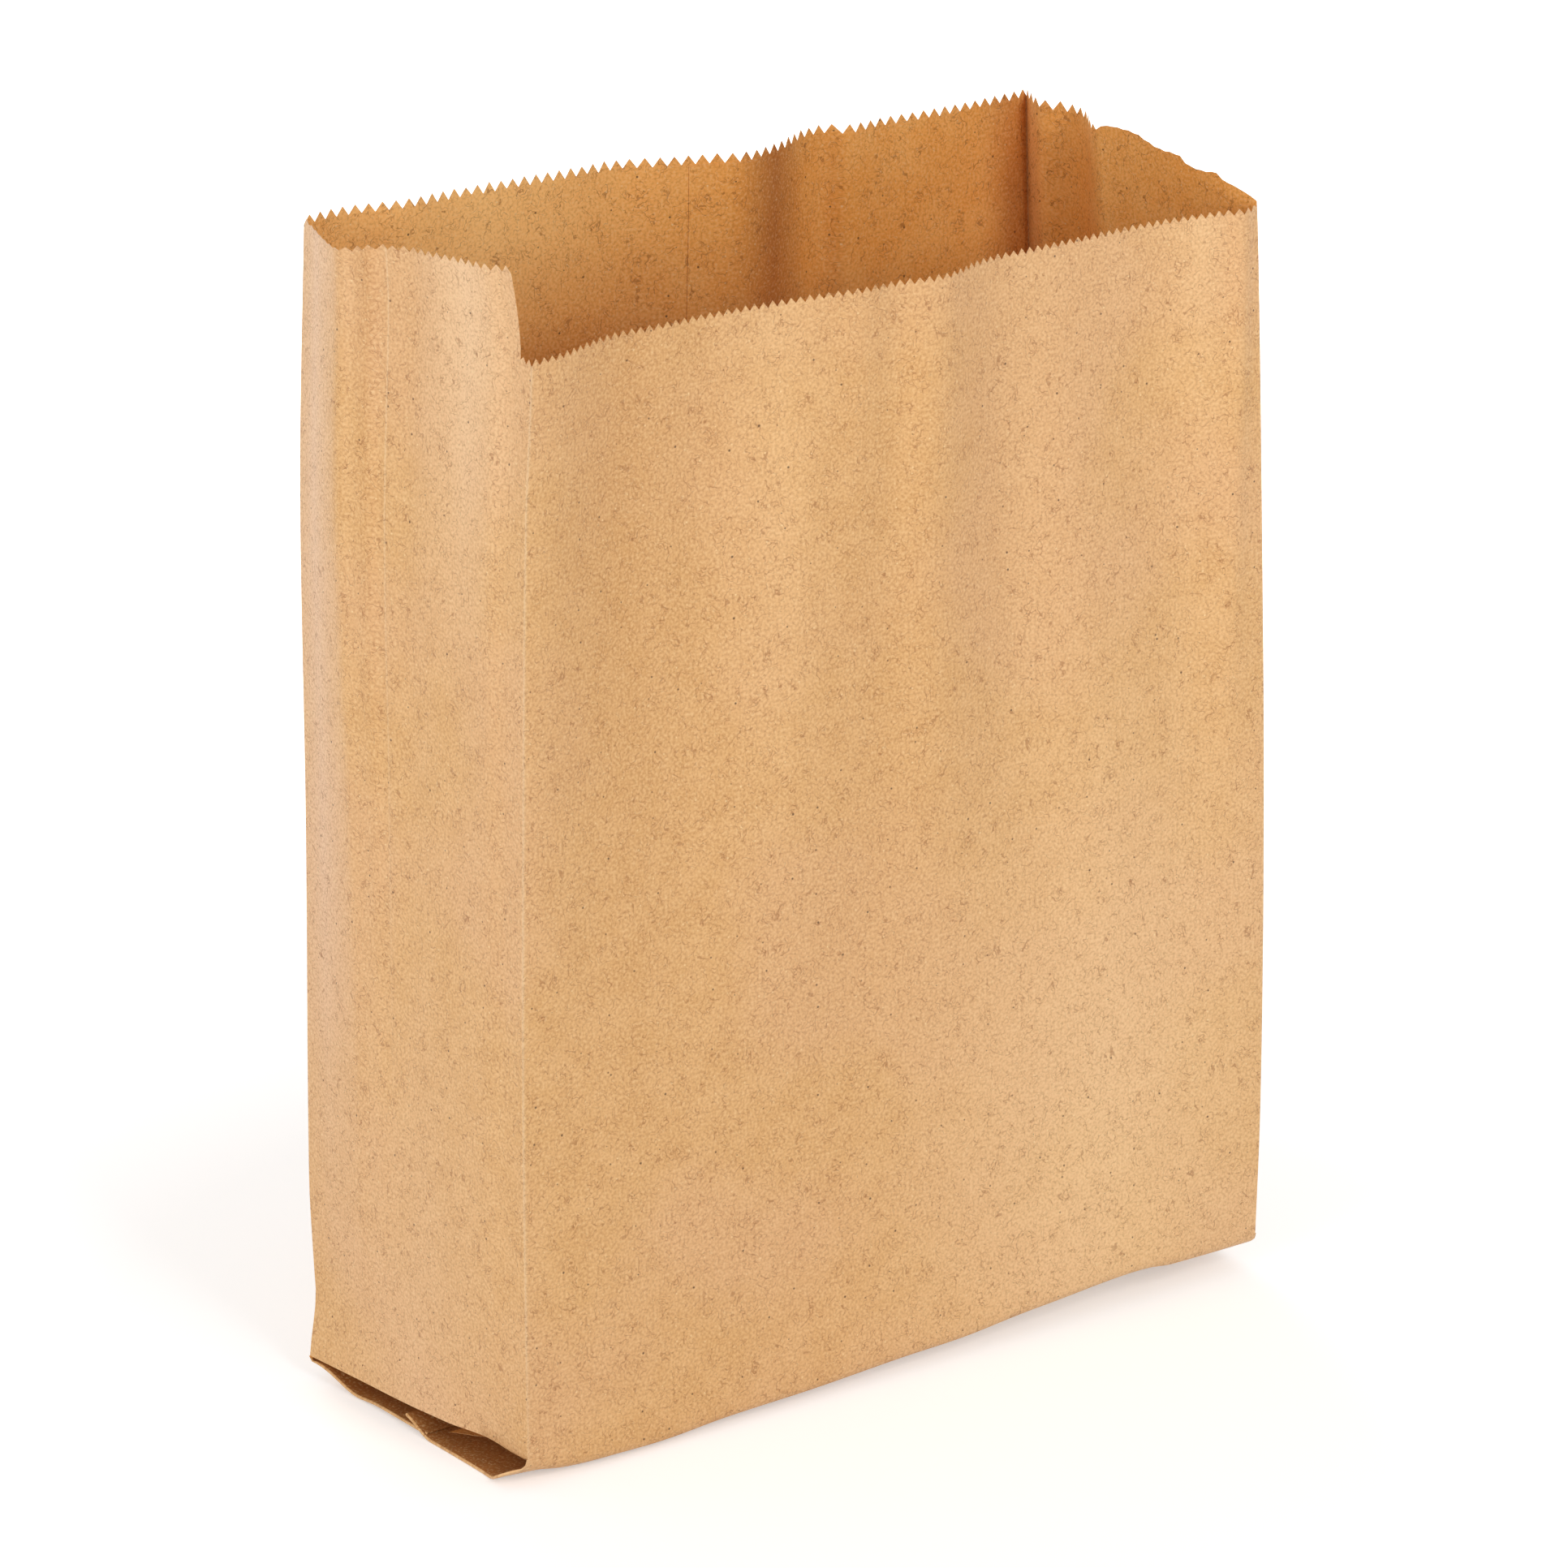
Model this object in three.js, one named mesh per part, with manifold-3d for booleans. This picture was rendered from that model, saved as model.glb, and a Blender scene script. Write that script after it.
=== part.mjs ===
// A kraft paper block-bottom bag, standing open, for lining a waste receptacle.
// One sheet, folded into a gusseted tube, lapped down the back and closed by a folded flat bottom.
// Millimetres. The front panel faces -Y, the mouth faces +Z, and the bottom flaps rest on z = 0.

import * as THREE from 'three';
import { mergeVertices } from 'three/addons/utils/BufferGeometryUtils.js';
import Module from 'manifold-3d';

const wasm = await Module();
wasm.setup();

// The sheet
const PAPER = 0.1;                 // thickness of one ply
const GLUED = 0.9 * PAPER;         // distance between two glued plies, so that they join
const PANEL_WIDTH = 193;           // front and back panels, fold to fold
const PANEL_DEPTH = 78;            // each gusseted side panel, fold to fold
const BAG_HEIGHT = 258;            // bottom fold to the mouth's edge at the back and sides
const LIP_DROP = 14;               // the front lip is cut lower than the rest by this
const FLAP_LENGTH = 55;            // each bottom flap, fold to free edge

// The cuts
const TOOTH_PITCH = 3;             // knife teeth along the mouth and the flaps
const TOOTH_DEPTH = 1.9;
const LIP_TOOTH_PITCH = 2.2;       // finer teeth along the front lip
const LIP_TOOTH_DEPTH = 1.3;
const SLIT_INSET = 4;              // the left slit stands this far round the front fold
const SLOPE_PITCH = 6.5;           // coarse steps where the right gusset slopes down to the lip
const SLOPE_DEPTH = 1.3;
const MITRE = 13;                  // cut-off corner at each end of a flap's free edge
const LAP_START = -2;              // glued lap down the back panel, from the middle
const LAP_WIDTH = 20;

// How the opened bag stands
const MOUTH_TAPER = 4;             // the mouth is drawn in by this much at each end
const WAVE_FOOT = 130;             // height where the mouth's waves have died out
const LIP_WAVE = 5;                // the lip bows in between its corners
const LIP_BULGE = 5;               // and swells out again near its middle
const BULGE_AT = 6;
const BULGE_REACH = 22;
const BACK_DENT = 9;               // inward dent of the back panel's edge
const DENT_AT = 8;
const DENT_REACH = 30;
const LEFT_BULGE = 5;              // the left gusset's back half bows out
const RIGHT_CREASE = 6;            // the right gusset's centre crease is pushed in
const LEAN = 4;                    // the mouth's back edge stands lower than its front by this
const LIP_RISE = 0.022;            // the lip climbs to the right, per millimetre
const FLAP_DROP = 9;               // the flaps reach the ground this far in from their folds
const STEP_DOWN = 4;               // a flap settles over the edge of the ply below it in this far
const LAYER = { frontTail: 1, frontPile: 2, backTail: 3, backPile: 4 };   // plies below each
const TAIL_SHORT = 1;              // the gusset's tails stop this far short of the flaps' edges
const LIFT = { frontLeft: 5, frontRight: 7, backLeft: 3, backRight: 5 };
const FRONT_SAG = 3.4;             // the front fold comes back down left of its middle
const SAG_AT = -60;
const SAG_REACH = 36;

// The mesh
const COLUMN = 16;                 // widest column of the panels
const JOIN = 0.3 * PAPER;          // plies that meet at a fold pass each other by this
const NEAR = 0.05;                 // a short step along the sheet, to find which way it faces
const TRIANGLE_ROWS = [-1, -0.75, -0.45, 0, 0.45, 0.75, 1];   // shares of half the depth

// The sheet is unrolled along s, from the front-left fold to the right and round to it again.
const HALF_WIDTH = PANEL_WIDTH / 2;
const HALF_DEPTH = PANEL_DEPTH / 2;
const FRONT_HEIGHT = BAG_HEIGHT - LIP_DROP;
const RIGHT_START = PANEL_WIDTH;
const BACK_START = PANEL_WIDTH + PANEL_DEPTH;
const LEFT_START = 2 * PANEL_WIDTH + PANEL_DEPTH;
const GIRTH = 2 * (PANEL_WIDTH + PANEL_DEPTH);
const LEFT_SLIT = -SLIT_INSET;
const RIGHT_CREASE_AT = RIGHT_START + HALF_DEPTH;
const LAP_END = BACK_START + HALF_WIDTH - LAP_START;
const OVERLAP = FLAP_LENGTH - HALF_DEPTH;    // how far each flap passes the bottom's middle

const { clamp, lerp, smoothstep } = THREE.MathUtils;

// A smooth rounded hill, 1 at its middle and 0 beyond its reach.
function hill(x, middle, reach) {
  return 1 - smoothstep(Math.abs(x - middle), 0, reach);
}

// Height of the bottom fold above the ground: the corners are lifted, the front sags between.
function foldHeight(x, y) {
  const across = clamp(0.5 + x / PANEL_WIDTH, 0, 1);
  const back = clamp(0.5 + y / PANEL_DEPTH, 0, 1);
  const front = lerp(LIFT.frontLeft, LIFT.frontRight, across) - FRONT_SAG * hill(x, SAG_AT, SAG_REACH);
  return lerp(front, lerp(LIFT.backLeft, LIFT.backRight, across), back);
}

// Where a point of the tube stands before its height is added: the four panels at height v.
function panelPoint(s, v) {
  const fade = smoothstep(v, WAVE_FOOT, BAG_HEIGHT);
  const end = HALF_WIDTH - MOUTH_TAPER * fade;
  const round = THREE.MathUtils.euclideanModulo(s, GIRTH);
  if (round < RIGHT_START) {
    const x = lerp(-end, end, round / PANEL_WIDTH);
    const bow = LIP_WAVE * hill(x, 0, HALF_WIDTH) ** 0.5 - LIP_BULGE * hill(x, BULGE_AT, BULGE_REACH);
    return [x, -HALF_DEPTH + fade * bow];
  }
  if (round < BACK_START) {
    const y = round - RIGHT_START - HALF_DEPTH;
    return [end - fade * RIGHT_CREASE * (1 - Math.abs(y) / HALF_DEPTH), y];
  }
  if (round < LEFT_START) {
    const x = lerp(end, -end, (round - BACK_START) / PANEL_WIDTH);
    return [x, HALF_DEPTH - fade * BACK_DENT * hill(x, DENT_AT, DENT_REACH)];
  }
  const y = HALF_DEPTH - (round - LEFT_START);
  return [-end - fade * LEFT_BULGE * hill(y, HALF_DEPTH / 2, HALF_DEPTH / 2), y];
}

// The place of a point of the sheet's tube, s along its girth and v above its bottom fold.
function place(s, v) {
  const [x, y] = panelPoint(s, v);
  const settled = foldHeight(x, y) * clamp(1 - v / WAVE_FOOT, 0, 1);
  const lean = LEAN * (y / PANEL_DEPTH) * (v / BAG_HEIGHT);
  return new THREE.Vector3(x, y, v + settled - lean);
}

// The outward direction of the tube at a point, from two short steps across it.
function outward(s, v) {
  const alongS = place(s + NEAR, v).sub(place(s - NEAR, v));
  const alongV = place(s, v + NEAR).sub(place(s, v - NEAR));
  return alongS.cross(alongV).normalize();
}

// A growing mesh of one ply: points with their outward directions, and triangles between them.
function newPly() {
  return { points: [], normals: [], triangles: [] };
}

function addPoint(ply, point, normal) {
  ply.points.push(point);
  ply.normals.push(normal);
  return ply.points.length - 1;
}

// Rows that share a point leave no triangle there.
function addTriangle(ply, a, b, c) {
  if (a !== b && b !== c && c !== a) ply.triangles.push([a, b, c]);
}

// Fills the strip between two rows of points. Each row entry is { at, id }, with at growing.
function stitch(ply, lower, upper) {
  let i = 0;
  let j = 0;
  while (i < lower.length - 1 || j < upper.length - 1) {
    const nextLower = i < lower.length - 1 ? lower[i + 1].at + lower[i].at : Infinity;
    const nextUpper = j < upper.length - 1 ? upper[j + 1].at + upper[j].at : Infinity;
    if (nextLower <= nextUpper) {
      addTriangle(ply, lower[i].id, lower[i + 1].id, upper[j].id);
      i += 1;
    } else {
      addTriangle(ply, lower[i].id, upper[j + 1].id, upper[j].id);
      j += 1;
    }
  }
}

// Gives a ply its thickness: both faces, and a narrow wall along every free edge.
function solidPly(ply, thickness) {
  const count = ply.points.length;
  const positions = [];
  for (const side of [0.5, -0.5]) {
    ply.points.forEach((point, index) => {
      const moved = point.clone().addScaledVector(ply.normals[index], side * thickness);
      positions.push(moved.x, moved.y, moved.z);
    });
  }
  const faces = [];
  const used = new Set();
  for (const [a, b, c] of ply.triangles) {
    faces.push(a, b, c, a + count, c + count, b + count);
    used.add(`${a},${b}`).add(`${b},${c}`).add(`${c},${a}`);
  }
  for (const edge of used) {
    const [a, b] = edge.split(',').map(Number);
    if (used.has(`${b},${a}`)) continue;
    faces.push(a, b + count, b, a, a + count, b + count);
  }
  return asManifold(positions, faces);
}

function asManifold(positions, faces) {
  const mesh = new wasm.Mesh({
    numProp: 3,
    vertProperties: new Float32Array(positions),
    triVerts: new Uint32Array(faces),
  });
  return new wasm.Manifold(mesh);
}

// Evenly spread stations between the given fixed ones, none further apart than COLUMN.
function stations(fixed) {
  const list = [fixed[0]];
  for (let i = 1; i < fixed.length; i += 1) {
    const parts = Math.ceil((fixed[i] - fixed[i - 1]) / COLUMN);
    for (let k = 1; k <= parts; k += 1) list.push(lerp(fixed[i - 1], fixed[i], k / parts));
  }
  return list;
}

// A knife-cut edge between two stations: tips and valleys half a pitch apart.
function teeth(from, to, pitch, depth) {
  const count = 2 * Math.round((to - from) / pitch);
  const edge = [];
  for (let k = 0; k <= count; k += 1) edge.push({ at: lerp(from, to, k / count), cut: k % 2 ? 0 : depth });
  return edge;
}

function lipHeight(s) {
  return FRONT_HEIGHT + LIP_RISE * (s - HALF_WIDTH);
}

// The tube's rows, from the bottom fold up. The lip and the rest of the mouth end apart.
const BODY_SHARES = [0.12, 0.28, 0.44, 0.57, 0.68, 0.78, 0.87, 0.94];   // of the front's height
const LOW_ROWS = [-JOIN, ...BODY_SHARES.map((share) => share * FRONT_HEIGHT)];
const HIGH_ROWS = [0, 0.3, 0.6];   // shares of the way from the slit's foot to the mouth

function tubeRow(ply, list, heightOf) {
  return list.map((s) => {
    const v = heightOf(s);
    return { at: s, id: addPoint(ply, place(s, v), outward(s, v)) };
  });
}

function toothedRow(ply, edge, heightOf) {
  return edge.map(({ at, cut }) => {
    const v = heightOf(at) - cut;
    return { at, id: addPoint(ply, place(at, v), outward(at, v)) };
  });
}

// The mouth's edge: level, but sloping down to the lip over the right gusset's front half.
function mouthHeight(s) {
  const share = clamp((s - RIGHT_START) / HALF_DEPTH, 0, 1);
  return lerp(lipHeight(RIGHT_START), BAG_HEIGHT, share);
}

const FRONT_STATIONS = stations([LEFT_SLIT, 0, HALF_WIDTH, RIGHT_START]);
const SIDE_STATIONS = stations([
  RIGHT_START, RIGHT_CREASE_AT, BACK_START, LAP_END - LAP_WIDTH, LAP_END, LEFT_START,
  LEFT_START + HALF_DEPTH, GIRTH + LEFT_SLIT,
]);
const MOUTH_TEETH = [
  ...teeth(RIGHT_START, RIGHT_CREASE_AT, SLOPE_PITCH, SLOPE_DEPTH).slice(0, -1),
  ...teeth(RIGHT_CREASE_AT, GIRTH + LEFT_SLIT, TOOTH_PITCH, TOOTH_DEPTH),
];

function highRow(s, share) {
  const top = mouthHeight(s);
  return lerp(top - LIP_DROP, top - TOOTH_DEPTH, share);
}

// The front-right fold is one edge from the last low row up to the lip.
function highPoints(ply, share, foldPoint) {
  return [foldPoint, ...tubeRow(ply, SIDE_STATIONS.slice(1), (s) => highRow(s, share))];
}

function tube() {
  const ply = newPly();
  const ring = [...FRONT_STATIONS, ...SIDE_STATIONS.slice(1, -1)];
  let below = null;
  for (const v of LOW_ROWS) {
    const row = tubeRow(ply, ring, () => v);
    row.push({ at: GIRTH + LEFT_SLIT, id: row[0].id });
    if (below) stitch(ply, below, row);
    below = row;
  }
  const front = below.slice(0, FRONT_STATIONS.length);
  const rest = below.slice(FRONT_STATIONS.length - 1);
  const foldPoint = rest[0];
  let row = rest;
  let slitFoot = null;
  for (const share of HIGH_ROWS) {
    const next = highPoints(ply, share, foldPoint);
    stitch(ply, row, next);
    slitFoot = slitFoot ?? next[next.length - 1];
    row = next;
  }
  const mouth = toothedRow(ply, MOUTH_TEETH, mouthHeight);
  stitch(ply, row, mouth);
  stitch(ply, front, lip(ply, slitFoot, mouth[0]));
  return solidPly(ply, PAPER);
}

// The lip's teeth run from the slit's foot to the front-right fold.
function lip(ply, slitFoot, corner) {
  const edge = teeth(LEFT_SLIT, RIGHT_START, LIP_TOOTH_PITCH, LIP_TOOTH_DEPTH).slice(1, -1);
  const row = toothedRow(ply, edge, lipHeight);
  return [{ at: LEFT_SLIT, id: slitFoot.id }, ...row, { at: RIGHT_START, id: corner.id }];
}

// The glued lap: a second ply inside the back panel.
function lap() {
  const ply = newPly();
  const columns = SIDE_STATIONS.filter((s) => s >= LAP_END - LAP_WIDTH - JOIN && s <= LAP_END + JOIN);
  const heights = [...LOW_ROWS.slice(1), ...HIGH_ROWS.map((share) => highRow(LAP_END, share))];
  let below = null;
  for (const v of heights) {
    const row = tubeRow(ply, columns, () => v);
    if (below) stitch(ply, below, row);
    below = row;
  }
  ply.points.forEach((point, index) => point.addScaledVector(ply.normals[index], -GLUED));
  return solidPly(ply, PAPER);
}

// Height of the middle of a bottom flap: up at its fold, flat on the ground further in.
function flapHeight(x, y, layer) {
  const share = smoothstep(HALF_DEPTH - Math.abs(y), 0, FLAP_DROP);
  return lerp(foldHeight(x, y), PAPER / 2 + layer * GLUED, share);
}

function flatPly(rows, heightOf) {
  const ply = newPly();
  const up = new THREE.Vector3(0, 0, 1);
  let below = null;
  for (const row of rows) {
    const next = row.map(([x, y]) => {
      const point = new THREE.Vector3(x, y, heightOf(x, y));
      return { at: x, id: addPoint(ply, point, up) };
    });
    if (below) stitch(ply, below, next);
    below = next;
  }
  return solidPly(ply, PAPER);
}

// One bottom flap. side is -1 for the front flap and 1 for the back one, which lies above it.
function flap(side) {
  const columns = stations([-HALF_WIDTH, 0, HALF_WIDTH]);
  const depths = [
    HALF_DEPTH + JOIN, HALF_DEPTH - FLAP_DROP / 2, HALF_DEPTH - FLAP_DROP,
    OVERLAP + STEP_DOWN, OVERLAP, MITRE - OVERLAP,
  ];
  const rows = depths.map((depth) => columns.map((x) => [x, side * depth]));
  const cut = teeth(-HALF_WIDTH + MITRE, HALF_WIDTH - MITRE, TOOTH_PITCH, TOOTH_DEPTH);
  rows.push(cut.map(({ at, cut: notch }) => [at, side * (notch - OVERLAP)]));
  if (side > 0) rows.reverse();
  return flatPly(rows, (x, y) => flapHeight(x, y, side > 0 ? backFlapLayer(x, y) : 0));
}

// The back flap lies over the front one, and over the gusset's ply too near the ends.
function backFlapLayer(x, y) {
  const over = smoothstep(OVERLAP + STEP_DOWN - y, 0, STEP_DOWN);
  const nearEnd = smoothstep(Math.abs(x) - HALF_WIDTH + HALF_DEPTH, -STEP_DOWN, 0);
  return over * (1 + nearEnd);
}

// The gusset's ply that is folded in against a flap at one end of the bottom.
function gussetTail(end, side) {
  const reach = OVERLAP - TAIL_SHORT;
  const inner = HALF_WIDTH - HALF_DEPTH;
  const rows = [
    [HALF_WIDTH - JOIN, HALF_DEPTH - JOIN],
    [HALF_WIDTH - JOIN - FLAP_DROP / 2, HALF_DEPTH - FLAP_DROP / 2],
    [HALF_WIDTH - JOIN - FLAP_DROP, HALF_DEPTH - FLAP_DROP],
    [inner, 0],
    [inner, MITRE - reach],
    [inner, -reach],
  ].map(([x, depth], index) => tailRow(x, depth, index, reach));
  const layer = side > 0 ? LAYER.backTail : LAYER.frontTail;
  const placed = rows.map((row) => {
    const turned = row.map(([x, y]) => [end * x, side * y]);
    return turned.sort((a, b) => a[0] - b[0]);
  });
  if (side > 0) placed.reverse();
  return flatPly(placed, (x, y) => flapHeight(x, y, layer));
}

// One row of a tail, from the diagonal fold out to the end of the bottom.
function tailRow(x, depth, index, reach) {
  if (index === 0) return [[x, depth]];
  const outer = depth > -reach ? HALF_WIDTH - JOIN : HALF_WIDTH - MITRE;
  return [[x, depth], [lerp(x, outer, 0.5), depth], [outer, depth]];
}

// The triangle of gusset over each end: up at the side fold, down along its two diagonals.
function sideTriangle(end) {
  const depths = TRIANGLE_ROWS.map((share) => share * (HALF_DEPTH - JOIN));
  const rows = depths.map((y) => {
    const wide = HALF_DEPTH - Math.abs(y);
    const across = [0, 0.5, 1].map((share) => [end * (HALF_WIDTH + JOIN - share * (wide + 2 * JOIN)), y]);
    return across.sort((a, b) => a[0] - b[0]);
  });
  return flatPly(rows, (x, y) => {
    const wide = HALF_DEPTH - Math.abs(y) + JOIN;
    const share = clamp((HALF_WIDTH - Math.abs(x)) / wide, 0, 1);
    const pile = lerp(LAYER.frontPile, LAYER.backPile, smoothstep(y + OVERLAP, -STEP_DOWN, 0));
    return lerp(foldHeight(x, y), flapHeight(x, y, pile), share);
  });
}

function bag() {
  let solid = tube().add(lap()).add(flap(-1)).add(flap(1));
  for (const end of [-1, 1]) {
    solid = solid.add(gussetTail(end, -1)).add(gussetTail(end, 1)).add(sideTriangle(end));
  }
  const { vertProperties, triVerts } = solid.getMesh();
  const geometry = new THREE.BufferGeometry();
  geometry.setAttribute('position', new THREE.BufferAttribute(new Float32Array(vertProperties), 3));
  geometry.setIndex(new THREE.BufferAttribute(new Uint32Array(triVerts), 1));
  return mergeVertices(geometry);
}

const kraft = new THREE.MeshStandardMaterial({ color: '#dfb682', roughness: 0.8, metalness: 0 });

const model = new THREE.Group();
const paperBag = new THREE.Mesh(bag(), kraft);
paperBag.name = 'paper_bag';
model.add(paperBag);

export default model;
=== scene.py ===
import math

import bpy
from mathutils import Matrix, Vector, noise


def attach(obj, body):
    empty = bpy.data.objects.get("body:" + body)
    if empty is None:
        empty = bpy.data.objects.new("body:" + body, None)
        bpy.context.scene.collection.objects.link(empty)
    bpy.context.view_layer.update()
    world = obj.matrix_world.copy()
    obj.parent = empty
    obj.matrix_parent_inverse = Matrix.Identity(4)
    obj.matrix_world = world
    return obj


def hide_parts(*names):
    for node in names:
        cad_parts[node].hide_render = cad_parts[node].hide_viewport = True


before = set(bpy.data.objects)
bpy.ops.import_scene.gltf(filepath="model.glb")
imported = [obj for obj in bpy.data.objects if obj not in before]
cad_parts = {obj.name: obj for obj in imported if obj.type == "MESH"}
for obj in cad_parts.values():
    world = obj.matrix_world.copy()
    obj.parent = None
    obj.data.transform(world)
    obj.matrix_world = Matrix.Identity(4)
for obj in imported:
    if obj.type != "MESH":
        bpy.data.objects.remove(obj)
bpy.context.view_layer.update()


# The camera. A long lens stands off the bag's left front and looks down on it a little,
# so that the front, the left gusset and some of the inside show at once.
CAMERA_AT = (-0.89057, -1.19061, 0.63975)
CAMERA_TO = (-0.00118, 0.0, 0.12484)
LENS = 169.7
SENSOR = 36


def look(thing, place, target):
    """Turns a camera or a lamp that stands at a place towards its target."""
    thing.rotation_euler = (Vector(target) - Vector(place)).to_track_quat("-Z", "Y").to_euler()


bpy.ops.object.camera_add(location=CAMERA_AT)
camera = bpy.context.object
camera.name = "camera"
camera.data.lens = LENS
camera.data.sensor_width = SENSOR
look(camera, CAMERA_AT, CAMERA_TO)
bpy.context.scene.camera = camera


# The bag: one sheet of unbleached kraft, folded into a gusseted tube, pasted along a lap down the
# back, and block folded at the bottom. Sizes are in millimetres. The real ply is 0.1 thick, and
# is made thicker here so that its edge shows.
MM = 0.001
WIDTH = 193
DEPTH = 78
PLY = 0.14
GIRTH = 2 * (WIDTH + DEPTH)
RIGHT_FOLD = WIDTH
BACK_RIGHT_FOLD = WIDTH + DEPTH
BACK_LEFT_FOLD = 2 * WIDTH + DEPTH


def through(stations, at):
    """A smooth curve through a few (place, value) pairs, read at one place."""
    if at <= stations[0][0]:
        return stations[0][1]
    if at >= stations[-1][0]:
        return stations[-1][1]
    i = 1
    while stations[i][0] < at:
        i += 1
    (a, low), (b, high) = stations[i - 1], stations[i]
    before = stations[i - 2] if i > 1 else stations[i - 1]
    after = stations[i + 1] if i + 1 < len(stations) else stations[i]
    rise_low = (high - before[1]) / (b - before[0]) * (b - a)
    rise_high = (after[1] - low) / (after[0] - a) * (b - a)
    t = (at - a) / (b - a)
    return (low * (2 * t**3 - 3 * t**2 + 1) + high * (3 * t**2 - 2 * t**3)
            + rise_low * (t**3 - 2 * t**2 + t) + rise_high * (t**3 - t**2))


def ease(value, start, end):
    """0 before the start and 1 past the end, with a soft rise between them."""
    t = min(max((value - start) / (end - start), 0), 1)
    return t * t * (3 - 2 * t)


def hill(value, middle, reach):
    """1 in the middle, falling to 0 at the reach on either side."""
    return 1 - ease(abs(value - middle), 0, reach)


# The four upright folds. The paper is slack and has been handled, so none stands quite straight:
# each has its place along the bag's width at some heights, and its place in the depth.
FRONT_LEFT = [(0, -95.6), (79, -95.8), (149, -94.8), (208, -93.4), (242, -91.5), (251, -92.2),
              (262, -94.2)]
FRONT_RIGHT = [(0, 100.6), (41, 101.5), (108, 100.6), (173, 98.3), (236, 95.5), (262, 93.6)]
BACK_RIGHT = [(0, 99.5), (130, 97.5), (256, 93)]
BACK_LEFT = [(0, -99.7), (6, -99.5), (18, -97.8), (26, -98.1), (46, -98.8), (128, -97.6),
             (199, -97.2), (256, -94.8)]
FOLDS = [(FRONT_LEFT, -38), (FRONT_RIGHT, -38), (BACK_RIGHT, 38), (BACK_LEFT, 38),
         (FRONT_LEFT, -38)]
FOLD_AT = [0, RIGHT_FOLD, BACK_RIGHT_FOLD, BACK_LEFT_FOLD, GIRTH]


# The waves of the mouth's edge, left by handling: how far each panel bows out there, by place
# along x or y. They grow to that up the panel, between two heights. Over the lip's broad bow is
# a tighter kink, and the left gusset keeps some of its bow lower down.
LIP_BOW = [(-92, 0), (-83, -1.0), (-68, -5.6), (-54, -5.6), (-45, -5.8), (-29, -4.6), (-16, -2.7),
           (-8, -0.9), (0, -0.9), (8, 0.2), (13, -0.2), (20, -1.7), (30, -3.6), (45, -3.6),
           (60, -3.8), (70, -3.6), (80, -2.2), (87, -0.8), (91, 1.0), (94.5, 0)]
LIP_KINK = [(0, 0), (8, 0.8), (13, 1.2), (17, 0.7), (22, -0.4), (26, -0.4), (33, 0)]
BACK_BOW = [(-95, 0), (-84, 1.4), (-70, -1.2), (-58, -0.6), (-30, -0.6), (-16, -0.6), (-8, -4.0),
            (2, -7.4), (9, -10.4), (17, -8.8), (23, -6.2), (31, -1.8), (38, -1.0), (41, -4.0),
            (52, -3.0), (66, -3.2), (80, -2.4), (89, -1.4), (94, 0)]
LEFT_BOW = [(-38, 0), (-31, -0.2), (-27, 0.9), (-16, 0.5), (-8, 0.7), (0, 0.4), (5.5, 1.7),
            (8, 2.3), (10.7, 3.6), (15, 4.4), (18, 5.7), (21, 5.2), (27, 3.5), (33, 1.4), (38, 0)]
RIGHT_BOW = [(-38, 0), (-30, -1.8), (-20, -3.2), (-8, -4.6), (2, -6.2), (6, -7.2), (10, -5.4),
             (17, -1.2), (23, -0.6), (29, -3.6), (33, -2.4), (38, 0)]
LIP_GROWS = (96, 250)
KINK_GROWS = (180, 250)
RIGHT_GROWS = (110, 256)
BACK_GROWS = (70, 256)
LEFT_GROWS = (60, 250)
LEFT_LEAST = 0.2

# Upright bands down the front, from the packing. Their places are those at one height. Below it
# they fan out, by the same share for each millimetre, and they fade towards their ends and sides.
BANDS = [(-94, 0), (-70, -1.2), (-50, -1.8), (-43, -1.6), (-22, 0.7), (-14, 0.5), (-4, -0.3),
         (8, 0.6), (13, 0.5), (26, -1.3), (31, -1.2), (43, 0.2), (50, 0), (64, -1.3), (72, -1.2),
         (88, 0.9), (94.5, 0)]
BANDS_AT = 240
BAND_FAN = 0.0022
BAND_DEPTH = 1.2
BANDS_START = (60, 165)
BANDS_END = (205, 246)
BANDS_SIDE = (76, 93)

# The front's shallow sag, the left gusset's middle crease, and the dent above its front corner,
# whose upper edge slants down towards the fold.
SAG_DEPTH = 1.2
SAG_TO = 230
CREASE_AT = 8
CREASE_REACH = 2.5
CREASE_DEPTH = 0.5
CREASE_GROWS = (40, 180)
DENT_TOP = 17
DENT_AT = 16
DENT_SLANT = 0.5
DENT_DEPTH = 0.14
DENT_START = (10, 24)
DENT_END = (32, 38)


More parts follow.
